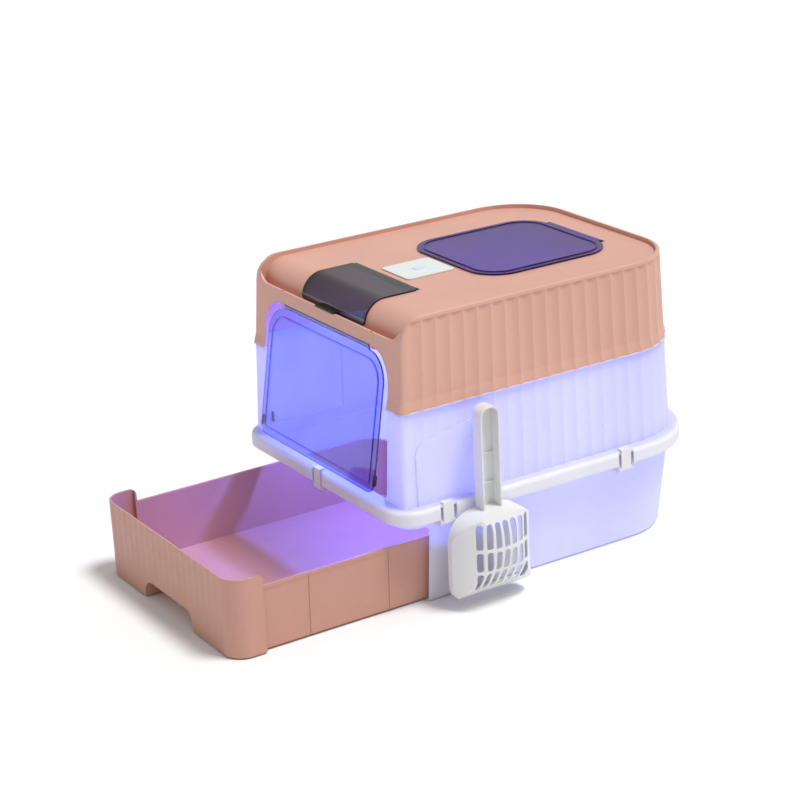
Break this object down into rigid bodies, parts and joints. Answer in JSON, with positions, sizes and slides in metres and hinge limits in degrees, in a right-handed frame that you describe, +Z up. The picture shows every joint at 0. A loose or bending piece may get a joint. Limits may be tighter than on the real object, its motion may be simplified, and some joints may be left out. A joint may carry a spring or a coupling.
{
  "type": "drawer litter box",
  "caption": "Closed cat litter box: fluted hood and ring on a low tub, swing door, curved window flap, top lid, lamp unit, pull-out litter drawer and side scoop.",
  "frame": {"origin": "middle of the base tub's underside, on the floor", "axes": "+Z up, the front with the door and drawer faces -Y, the scoop hangs at +X"},
  "size_m": [0.473, 0.7562, 0.398],
  "materials": {
    "frosted_plastic": "translucent frosted polypropylene",
    "pink_plastic": "satin polypropylene",
    "white_plastic": "satin white",
    "tinted_panel": "violet tinted clear plastic",
    "smoky_panel": "smoky clear plastic",
    "steel": "bright drawn wire",
    "magnet": "black coated",
    "button_plastic": "pale blue gloss",
    "lens": "diffusing lens",
    "circuit_board": "green solder mask",
    "emitter": "violet emitters",
    "battery": "foil pouch",
    "switch_plastic": "black"
  },
  "bodies": {
    "box": {"base_tub": "frosted_plastic", "middle_ring": "frosted_plastic", "hood": "pink_plastic", "door_hinge_rod": "steel", "window_hinge_rod": "steel", "lid_hinge_rod": "steel", "frame_magnet_left": "magnet", "frame_magnet_right": "magnet", "scoop_hook": "white_plastic", "latch_right_front": "white_plastic"},
    "door": {"entry_door": "tinted_panel", "door_magnet_left": "magnet", "door_magnet_right": "magnet"},
    "window": {"front_window": "smoky_panel"},
    "lid": {"top_lid": "tinted_panel"},
    "lamp_unit": {"lamp_cover": "white_plastic", "lamp_housing": "white_plastic", "lamp_lens": "lens", "lamp_board": "circuit_board", "lamp_leds": "emitter", "lamp_battery": "battery", "lamp_switch": "switch_plastic", "lamp_charge_socket": "steel", "lamp_screws": "steel"},
    "button": {"lamp_button": "button_plastic"},
    "drawer": {"drawer": "pink_plastic"},
    "latch_right_rear": {"latch_right_rear": "white_plastic"},
    "latch_left_front": {"latch_left_front": "white_plastic"},
    "latch_left_rear": {"latch_left_rear": "white_plastic"},
    "latch_front": {"latch_front": "white_plastic"},
    "latch_rear": {"latch_rear": "white_plastic"},
    "scoop": {"scoop": "white_plastic"}
  },
  "joints": [
    {"name": "drawer_slide", "type": "slide", "parent": "box", "child": "drawer", "axis": [0, -1, 0], "range_m": [-0.244, 0.15]},
    {"name": "door_swing", "type": "hinge", "parent": "box", "child": "door", "pos_m": [0, -0.22803, 0.345], "axis": [-1, 0, 0], "range_deg": [-90, 75]},
    {"name": "window_open", "type": "hinge", "parent": "box", "child": "window", "pos_m": [0, -0.13453, 0.3902], "axis": [-1, 0, 0], "range_deg": [0, 88]},
    {"name": "lid_open", "type": "hinge", "parent": "box", "child": "lid", "pos_m": [0, 0.181, 0.3902], "axis": [-1, 0, 0], "range_deg": [0, 105]},
    {"name": "lamp_lift", "type": "slide", "parent": "box", "child": "lamp_unit", "axis": [0, 0, 1], "range_m": [0, 0.04]},
    {"name": "button_press", "type": "slide", "parent": "lamp_unit", "child": "button", "axis": [0, 0, -1], "range_m": [0, 0.0008], "stiffness_N_per_m": 250},
    {"name": "scoop_lift", "type": "slide", "parent": "box", "child": "scoop", "axis": [0, 0, 1], "range_m": [0, 0.16]},
    {"name": "latch_right_rear_flip", "type": "hinge", "parent": "box", "child": "latch_right_rear", "pos_m": [0.2065, 0.105, 0.1202], "axis": [0, 1, 0], "range_deg": [0, 90]},
    {"name": "latch_left_front_flip", "type": "hinge", "parent": "box", "child": "latch_left_front", "pos_m": [-0.2065, -0.185, 0.1202], "axis": [0, -1, 0], "range_deg": [0, 90]},
    {"name": "latch_left_rear_flip", "type": "hinge", "parent": "box", "child": "latch_left_rear", "pos_m": [-0.2065, 0.105, 0.1202], "axis": [0, -1, 0], "range_deg": [0, 90]},
    {"name": "latch_front_flip", "type": "hinge", "parent": "box", "child": "latch_front", "pos_m": [0, -0.2565, 0.1202], "axis": [1, 0, 0], "range_deg": [0, 90]},
    {"name": "latch_rear_flip", "type": "hinge", "parent": "box", "child": "latch_rear", "pos_m": [0, 0.2565, 0.1202], "axis": [-1, 0, 0], "range_deg": [0, 90]}
  ]
}
